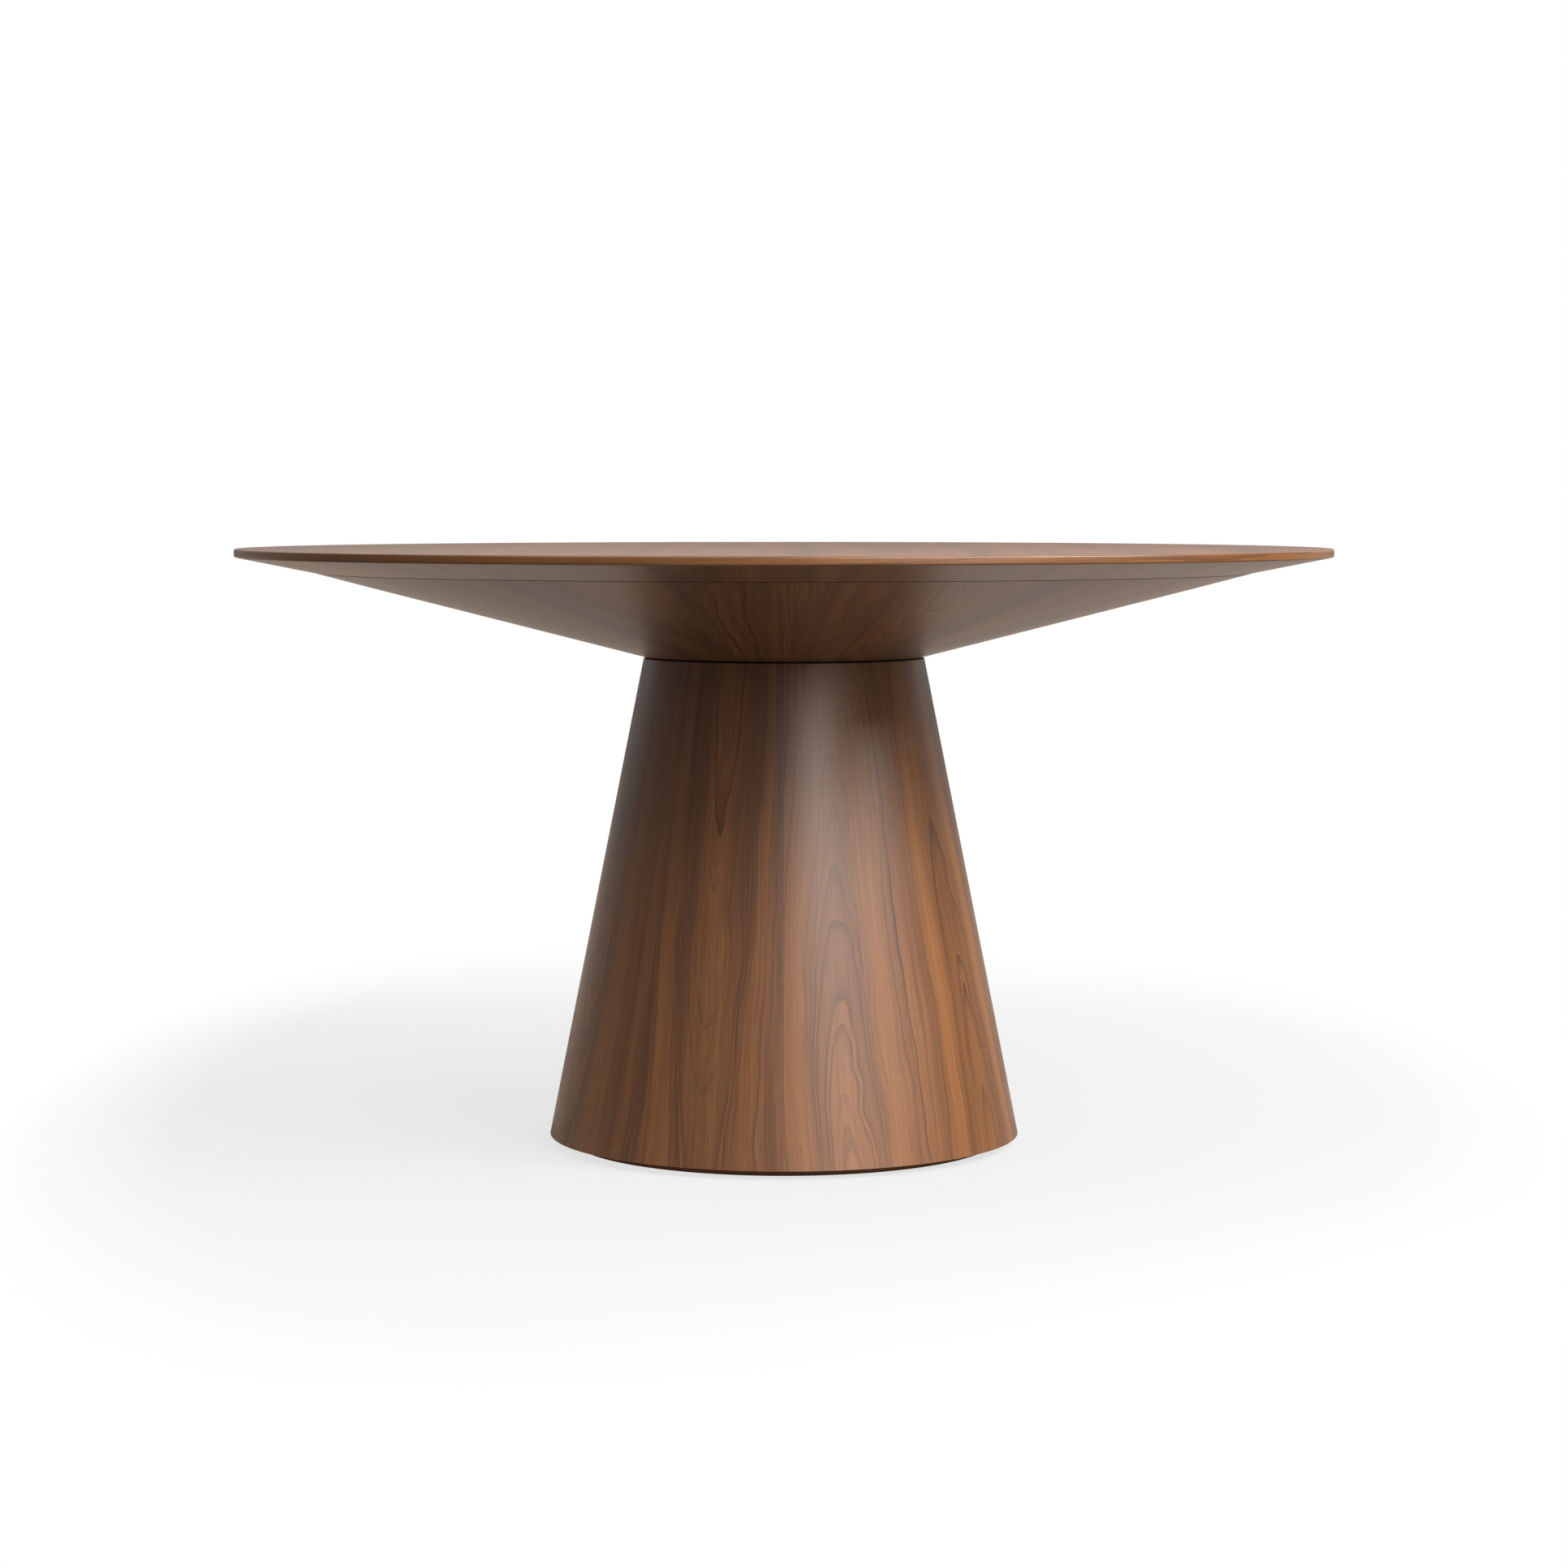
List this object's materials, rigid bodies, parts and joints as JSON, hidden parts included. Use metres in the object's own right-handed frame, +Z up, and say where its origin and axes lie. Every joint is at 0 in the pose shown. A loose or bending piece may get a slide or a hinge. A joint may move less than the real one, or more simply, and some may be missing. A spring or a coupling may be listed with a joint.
{
  "type": "tilt top pedestal dining table",
  "caption": "Round walnut dining table with a thin bevelled edge and flared underside that tilts on a hinge at the back of its neck, on a hollow cone pedestal with levelling glides",
  "frame": {"origin": "Centre of the footprint, on the floor and on the pedestal's axis", "axes": "+Z up along the pedestal's axis, +Y towards the hinge at the back of the neck, +X to the right seen from the front"},
  "size_m": [1.372, 1.372, 0.752],
  "materials": {
    "walnut_top": "american walnut veneer, satin lacquer",
    "walnut_edge": "solid american walnut, satin lacquer",
    "walnut_bevel": "american walnut veneer, satin lacquer",
    "walnut_flare": "american walnut veneer, satin lacquer",
    "walnut_pedestal": "american walnut veneer, satin lacquer",
    "mdf": "raw fibreboard",
    "plywood": "raw birch plywood",
    "plinth_stain": "dark brown stained, satin",
    "seat_rubber": "matt black",
    "brass": "satin brass",
    "zinc_steel": "zinc plated",
    "ballast_steel": "matt grey primer",
    "nylon": "black nylon"
  },
  "bodies": {
    "base": {"hinge_base_leaf": "brass", "hinge_base_screws": "brass", "hinge_pin": "brass", "catch_screws": "zinc_steel", "seat_ring": "seat_rubber", "pedestal_top_plate": "plywood", "pedestal_veneer": "walnut_pedestal", "pedestal_shell": "plywood", "pedestal_mid_ring": "plywood", "pedestal_base_ring": "plywood", "batten_1": "plywood", "batten_2": "plywood", "batten_3": "plywood", "batten_4": "plywood", "batten_5": "plywood", "batten_6": "plywood", "ballast_ring": "ballast_steel", "ballast_screws": "zinc_steel", "plinth_ring": "plinth_stain", "plinth_screws": "zinc_steel", "glide_inserts": "zinc_steel"},
    "top": {"tabletop_core": "mdf", "top_veneer": "walnut_top", "edge_band": "walnut_edge", "bevel_veneer": "walnut_bevel", "flare_veneer": "walnut_flare", "flare_shell": "plywood", "rim_ring": "mdf", "rim_screws": "zinc_steel", "flare_rib_1": "plywood", "flare_rib_2": "plywood", "flare_rib_3": "plywood", "flare_rib_4": "plywood", "flare_rib_5": "plywood", "flare_rib_6": "plywood", "flare_rib_7": "plywood", "flare_rib_8": "plywood", "hub_block": "plywood", "hub_screws": "zinc_steel", "neck_plate": "plywood", "hinge_top_leaf": "brass", "hinge_top_screws": "brass", "keeper_blocks": "seat_rubber", "keeper_plates": "zinc_steel", "keeper_screws": "zinc_steel"},
    "catch_1": {"catch_bar_1": "zinc_steel"},
    "catch_2": {"catch_bar_2": "zinc_steel"},
    "pad_1": {"glide_pad_1": "nylon"},
    "stud_1": {"glide_stud_1": "zinc_steel"},
    "pad_2": {"glide_pad_2": "nylon"},
    "stud_2": {"glide_stud_2": "zinc_steel"},
    "pad_3": {"glide_pad_3": "nylon"},
    "stud_3": {"glide_stud_3": "zinc_steel"},
    "pad_4": {"glide_pad_4": "nylon"},
    "stud_4": {"glide_stud_4": "zinc_steel"},
    "pad_5": {"glide_pad_5": "nylon"},
    "stud_5": {"glide_stud_5": "zinc_steel"},
    "pad_6": {"glide_pad_6": "nylon"},
    "stud_6": {"glide_stud_6": "zinc_steel"}
  },
  "joints": [
    {"name": "tilt", "type": "hinge", "parent": "base", "child": "top", "pos_m": [0, 0.182, 0.6125], "axis": [-1, 0, 0], "range_deg": [0, 90]},
    {"name": "catch_slide_1", "type": "slide", "parent": "base", "child": "catch_1", "axis": [0, -1, 0], "range_m": [0, 0.012]},
    {"name": "catch_slide_2", "type": "slide", "parent": "base", "child": "catch_2", "axis": [0, -1, 0], "range_m": [0, 0.012]},
    {"name": "level_1", "type": "slide", "parent": "base", "child": "pad_1", "axis": [0, 0, -1], "range_m": [0, 0.015]},
    {"name": "stud_turn_1", "type": "hinge", "parent": "pad_1", "child": "stud_1", "pos_m": [0.19226, 0.111, 0.02], "axis": [0, 0, -1], "range_deg": [0, 4320]},
    {"name": "level_2", "type": "slide", "parent": "base", "child": "pad_2", "axis": [0, 0, -1], "range_m": [0, 0.015]},
    {"name": "stud_turn_2", "type": "hinge", "parent": "pad_2", "child": "stud_2", "pos_m": [0, 0.222, 0.02], "axis": [0, 0, -1], "range_deg": [0, 4320]},
    {"name": "level_3", "type": "slide", "parent": "base", "child": "pad_3", "axis": [0, 0, -1], "range_m": [0, 0.015]},
    {"name": "stud_turn_3", "type": "hinge", "parent": "pad_3", "child": "stud_3", "pos_m": [-0.19226, 0.111, 0.02], "axis": [0, 0, -1], "range_deg": [0, 4320]},
    {"name": "level_4", "type": "slide", "parent": "base", "child": "pad_4", "axis": [0, 0, -1], "range_m": [0, 0.015]},
    {"name": "stud_turn_4", "type": "hinge", "parent": "pad_4", "child": "stud_4", "pos_m": [-0.19226, -0.111, 0.02], "axis": [0, 0, -1], "range_deg": [0, 4320]},
    {"name": "level_5", "type": "slide", "parent": "base", "child": "pad_5", "axis": [0, 0, -1], "range_m": [0, 0.015]},
    {"name": "stud_turn_5", "type": "hinge", "parent": "pad_5", "child": "stud_5", "pos_m": [0, -0.222, 0.02], "axis": [0, 0, -1], "range_deg": [0, 4320]},
    {"name": "level_6", "type": "slide", "parent": "base", "child": "pad_6", "axis": [0, 0, -1], "range_m": [0, 0.015]},
    {"name": "stud_turn_6", "type": "hinge", "parent": "pad_6", "child": "stud_6", "pos_m": [0.19226, -0.111, 0.02], "axis": [0, 0, -1], "range_deg": [0, 4320]}
  ],
  "couplings": [
    {"joint": "stud_turn_1", "follows": "level_1", "rad_per_m": 5026.5},
    {"joint": "stud_turn_2", "follows": "level_2", "rad_per_m": 5026.5},
    {"joint": "stud_turn_3", "follows": "level_3", "rad_per_m": 5026.5},
    {"joint": "stud_turn_4", "follows": "level_4", "rad_per_m": 5026.5},
    {"joint": "stud_turn_5", "follows": "level_5", "rad_per_m": 5026.5},
    {"joint": "stud_turn_6", "follows": "level_6", "rad_per_m": 5026.5}
  ]
}
